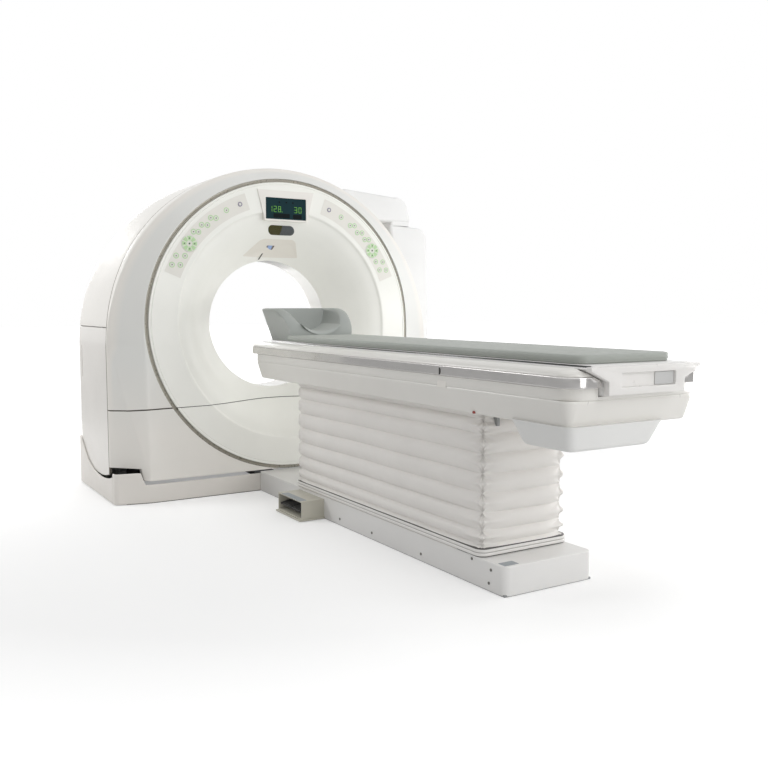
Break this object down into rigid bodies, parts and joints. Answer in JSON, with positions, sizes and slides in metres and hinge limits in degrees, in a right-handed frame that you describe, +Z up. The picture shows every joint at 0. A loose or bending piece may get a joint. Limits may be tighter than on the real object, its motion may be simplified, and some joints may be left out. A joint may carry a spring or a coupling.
{
  "type": "ct scanner",
  "caption": "Hospital computed tomography scanner: a round-bored tilting gantry on a fixed base, with a lifting patient table on a pleated bellows.",
  "frame": {"origin": "on the floor under the centre of the bore's front ring, in the plane of that ring", "axes": "+X to the right seen from the patient table, +Y from the table through the bore to the rear, +Z up"},
  "size_m": [2.2272, 3.395, 1.83],
  "materials": {
    "white_cover": "satin moulded shell",
    "base_cover": "satin paint",
    "ring_trim": "matt",
    "scan_window": "translucent satin film",
    "rear_tunnel": "satin",
    "bezel": "satin",
    "display": "gloss",
    "dark_lamp": "smoked gloss",
    "indicator": "translucent",
    "keypad": "membrane, matt",
    "stop_button": "satin",
    "frame_steel": "matt paint",
    "machined_steel": "machined",
    "motor_paint": "satin paint",
    "rotor_alloy": "machined",
    "slip_ring": "machined",
    "screws": "satin",
    "table_cover": "satin moulded shell",
    "bright_strip": "satin anodised",
    "bellows": "matt coated cloth",
    "switch_housing": "satin",
    "pedals": "matt",
    "tabletop": "carbon fibre laminate, satin",
    "mattress": "coated cover, satin",
    "headrest": "satin",
    "headrest_cushion": "coated cover, satin"
  },
  "bodies": {
    "base": {"base_frame": "frame_steel", "left_stand": "frame_steel", "right_stand": "frame_steel", "tilt_gearmotor": "motor_paint", "anchor_bolts": "machined_steel", "base_front_cover": "base_cover", "base_side_covers": "base_cover", "base_rear_cover": "base_cover", "table_base_cover": "base_cover", "table_base_frame": "frame_steel", "table_base_screws": "screws", "lift_actuator": "motor_paint", "foot_switch_housing": "switch_housing", "bellows_trim": "table_cover", "bellows": "bellows"},
    "gantry": {"front_cover": "white_cover", "lower_front_cover": "white_cover", "front_dish_upper": "white_cover", "front_dish_lower": "white_cover", "ring_trim": "ring_trim", "scan_window": "scan_window", "rear_tunnel": "rear_tunnel", "left_lower_side_cover": "white_cover", "right_lower_side_cover": "white_cover", "left_upper_side_cover": "white_cover", "right_upper_side_cover": "white_cover", "rear_cover": "white_cover", "right_rear_unit_upper": "white_cover", "right_rear_unit_lower": "white_cover", "display_bezel": "bezel", "display_panel": "display", "lamp_window": "dark_lamp", "indicator": "indicator", "front_plate": "white_cover", "keypads": "keypad", "tilt_frame": "frame_steel", "trunnion_shafts": "machined_steel", "rotor_bearing": "machined_steel"},
    "rotor": {"rotor_ring": "rotor_alloy", "slip_ring": "slip_ring", "xray_tube": "rotor_alloy", "detector": "rotor_alloy", "power_unit": "rotor_alloy", "counterweight": "machined_steel"},
    "left_stop": {"left_stop_button": "stop_button"},
    "right_stop": {"right_stop_button": "stop_button"},
    "left_pad": {"left_direction_pad": "keypad"},
    "right_pad": {"right_direction_pad": "keypad"},
    "raise_lever": {"raise_pedal": "pedals"},
    "lower_lever": {"lower_pedal": "pedals"},
    "table": {"lifting_frame": "table_cover", "bright_strips": "bright_strip", "underslung_housing": "table_cover"},
    "outer_arms": {"outer_lift_arms": "frame_steel"},
    "inner_arms": {"inner_lift_arms": "frame_steel"},
    "couch": {"tabletop": "tabletop", "end_grip": "table_cover", "mattress": "mattress", "headrest": "headrest", "headrest_cushion": "headrest_cushion"}
  },
  "joints": [
    {"name": "gantry_tilt", "type": "hinge", "parent": "base", "child": "gantry", "pos_m": [0, 0.3, 0.937], "axis": [-1, 0, 0], "range_deg": [-30, 30]},
    {"name": "rotor_spin", "type": "hinge", "parent": "gantry", "child": "rotor", "pos_m": [0, 0.3, 0.937], "axis": [0, 1, 0], "continuous": true},
    {"name": "left_stop_press", "type": "slide", "parent": "gantry", "child": "left_stop", "axis": [0, 1, 0], "range_m": [0, 0.003], "stiffness_N_per_m": 600, "springref_m": -0.002},
    {"name": "right_stop_press", "type": "slide", "parent": "gantry", "child": "right_stop", "axis": [0, 1, 0], "range_m": [0, 0.003], "stiffness_N_per_m": 600, "springref_m": -0.002},
    {"name": "left_pad_press", "type": "slide", "parent": "gantry", "child": "left_pad", "axis": [0, 1, 0], "range_m": [0, 0.002], "stiffness_N_per_m": 800, "springref_m": -0.002},
    {"name": "right_pad_press", "type": "slide", "parent": "gantry", "child": "right_pad", "axis": [0, 1, 0], "range_m": [0, 0.002], "stiffness_N_per_m": 800, "springref_m": -0.002},
    {"name": "raise_pedal_press", "type": "hinge", "parent": "base", "child": "raise_lever", "pos_m": [-0.237, -0.776, 0.05], "axis": [0, -1, 0], "range_deg": [0, 8], "stiffness_Nm_per_rad": 4, "springref_deg": -11.46},
    {"name": "lower_pedal_press", "type": "hinge", "parent": "base", "child": "lower_lever", "pos_m": [-0.237, -0.637, 0.05], "axis": [0, -1, 0], "range_deg": [0, 8], "stiffness_Nm_per_rad": 4, "springref_deg": -11.46},
    {"name": "table_lift", "type": "slide", "parent": "base", "child": "table", "axis": [0, 0, 1], "range_m": [-0.36, 0.05], "deforming": ["bellows"]},
    {"name": "outer_arm_swing", "type": "hinge", "parent": "base", "child": "outer_arms", "pos_m": [0, -1.88, 0.1], "axis": [1, 0, 0], "range_deg": [-20, 3]},
    {"name": "inner_arm_swing", "type": "hinge", "parent": "table", "child": "inner_arms", "pos_m": [0, -1.88, 0.62], "axis": [1, 0, 0], "range_deg": [-3, 20]},
    {"name": "tabletop_slide", "type": "slide", "parent": "table", "child": "couch", "axis": [0, 1, 0], "range_m": [0, 1.6]}
  ],
  "couplings": [
    {"joint": "outer_arm_swing", "follows": "table_lift", "rad_per_m": 0.962},
    {"joint": "inner_arm_swing", "follows": "table_lift", "rad_per_m": -0.962}
  ]
}
